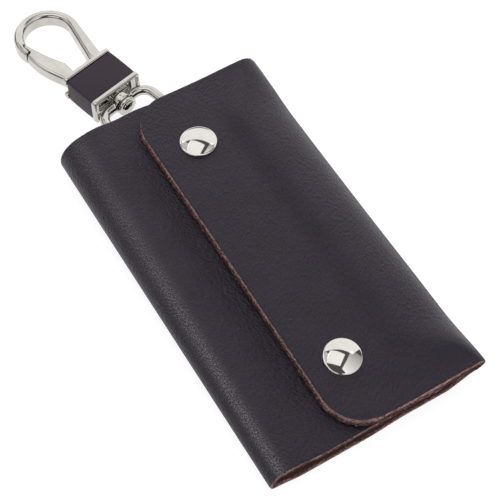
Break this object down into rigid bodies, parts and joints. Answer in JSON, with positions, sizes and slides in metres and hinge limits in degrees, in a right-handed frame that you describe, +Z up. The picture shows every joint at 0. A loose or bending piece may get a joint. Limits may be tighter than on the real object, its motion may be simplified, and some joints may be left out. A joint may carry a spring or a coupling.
{
  "type": "key case",
  "caption": "Folded leather key case with a snap-down flap, key hooks inside and a swivelling belt hook with a sprung gate on a short leather-wrapped collar.",
  "frame": {"origin": "middle of the back panel's underside, on the surface that the case lies on", "axes": "+Y along the case towards the belt hook, +X towards the fold that carries the flap, +Z up"},
  "size_m": [0.064, 0.167, 0.0146],
  "materials": {
    "case_leather": "fine grain, semi-matt",
    "collar_leather": "smooth, semi-matt",
    "nickel": "polished nickel plate",
    "spring_steel": "drawn wire and strip"
  },
  "bodies": {
    "case_back": {"back_panel": "case_leather", "key_plate": "nickel", "plate_rivets": "nickel", "key_bar": "nickel", "anchor_rivet": "nickel"},
    "flap_fold": {"flap_fold": "case_leather"},
    "flap": {"flap": "case_leather", "upper_snap_cap": "nickel", "upper_snap_socket": "nickel", "upper_snap_spring": "spring_steel", "lower_snap_cap": "nickel", "lower_snap_socket": "nickel", "lower_snap_spring": "spring_steel"},
    "panel_fold": {"panel_fold": "case_leather"},
    "front_panel": {"front_panel": "case_leather", "upper_snap_stud": "nickel", "upper_snap_eyelet": "nickel", "lower_snap_stud": "nickel", "lower_snap_eyelet": "nickel"},
    "key_hook_1": {"key_hook_1": "nickel"},
    "key_hook_2": {"key_hook_2": "nickel"},
    "key_hook_3": {"key_hook_3": "nickel"},
    "key_hook_4": {"key_hook_4": "nickel"},
    "key_hook_5": {"key_hook_5": "nickel"},
    "key_hook_6": {"key_hook_6": "nickel"},
    "anchor_tab": {"anchor_tab": "case_leather"},
    "swivel_eye": {"swivel_eye": "nickel"},
    "belt_hook": {"hook_frame": "nickel", "collar_sleeve": "collar_leather", "swivel_stem": "nickel", "gate_pin": "nickel", "gate_spring": "spring_steel"},
    "gate": {"gate": "nickel"}
  },
  "joints": [
    {"name": "flap_fold_lower", "type": "hinge", "parent": "case_back", "child": "flap_fold", "pos_m": [0.03059, 0, 0.00241], "axis": [-0.0114, 0.9999, -0.0063], "range_deg": [0, 82.5]},
    {"name": "flap_fold_upper", "type": "hinge", "parent": "flap_fold", "child": "flap", "pos_m": [0.03059, 0, 0.00919], "axis": [-0.0114, 0.9987, 0.0487], "range_deg": [0, 82.5]},
    {"name": "panel_fold_lower", "type": "hinge", "parent": "case_back", "child": "panel_fold", "pos_m": [-0.03062, 0, 0.00138], "axis": [-0.0076, -0.9999, -0.0076], "range_deg": [0, 41.25]},
    {"name": "panel_fold_upper", "type": "hinge", "parent": "panel_fold", "child": "front_panel", "pos_m": [-0.03062, 0, 0.00807], "axis": [-0.0076, -0.999, -0.0445], "range_deg": [0, 41.25]},
    {"name": "key_hook_1_swing", "type": "hinge", "parent": "case_back", "child": "key_hook_1", "pos_m": [-0.01575, 0.0271, 0.0046], "axis": [-1, 0, 0], "range_deg": [0, 7]},
    {"name": "key_hook_2_swing", "type": "hinge", "parent": "case_back", "child": "key_hook_2", "pos_m": [-0.00945, 0.0271, 0.0046], "axis": [-1, 0, 0], "range_deg": [0, 7]},
    {"name": "key_hook_3_swing", "type": "hinge", "parent": "case_back", "child": "key_hook_3", "pos_m": [-0.00315, 0.0271, 0.0046], "axis": [-1, 0, 0], "range_deg": [0, 7]},
    {"name": "key_hook_4_swing", "type": "hinge", "parent": "case_back", "child": "key_hook_4", "pos_m": [0.00315, 0.0271, 0.0046], "axis": [-1, 0, 0], "range_deg": [0, 7]},
    {"name": "key_hook_5_swing", "type": "hinge", "parent": "case_back", "child": "key_hook_5", "pos_m": [0.00945, 0.0271, 0.0046], "axis": [-1, 0, 0], "range_deg": [0, 7]},
    {"name": "key_hook_6_swing", "type": "hinge", "parent": "case_back", "child": "key_hook_6", "pos_m": [0.01575, 0.0271, 0.0046], "axis": [-1, 0, 0], "range_deg": [0, 7]},
    {"name": "anchor_swing", "type": "hinge", "parent": "case_back", "child": "anchor_tab", "pos_m": [0, 0.042, 0.0044], "axis": [0, 0, 1], "range_deg": [-40, 12]},
    {"name": "eye_tilt", "type": "hinge", "parent": "anchor_tab", "child": "swivel_eye", "pos_m": [-0.00273, 0.05296, 0.0044], "axis": [0.9703, 0.2419, 0], "range_deg": [-5, 22]},
    {"name": "hook_swivel", "type": "hinge", "parent": "swivel_eye", "child": "belt_hook", "pos_m": [-0.00634, 0.06742, 0.0044], "axis": [-0.2419, 0.9703, 0], "continuous": true},
    {"name": "gate_open", "type": "hinge", "parent": "belt_hook", "child": "gate", "pos_m": [-0.01398, 0.07783, 0.0044], "axis": [0, 0, -1], "range_deg": [0, 24], "stiffness_Nm_per_rad": 0.08, "springref_deg": -8.59}
  ],
  "couplings": [
    {"joint": "flap_fold_upper", "follows": "flap_fold_lower", "ratio": 1},
    {"joint": "panel_fold_lower", "follows": "flap_fold_lower", "ratio": 0.5},
    {"joint": "panel_fold_upper", "follows": "flap_fold_lower", "ratio": 0.5}
  ]
}
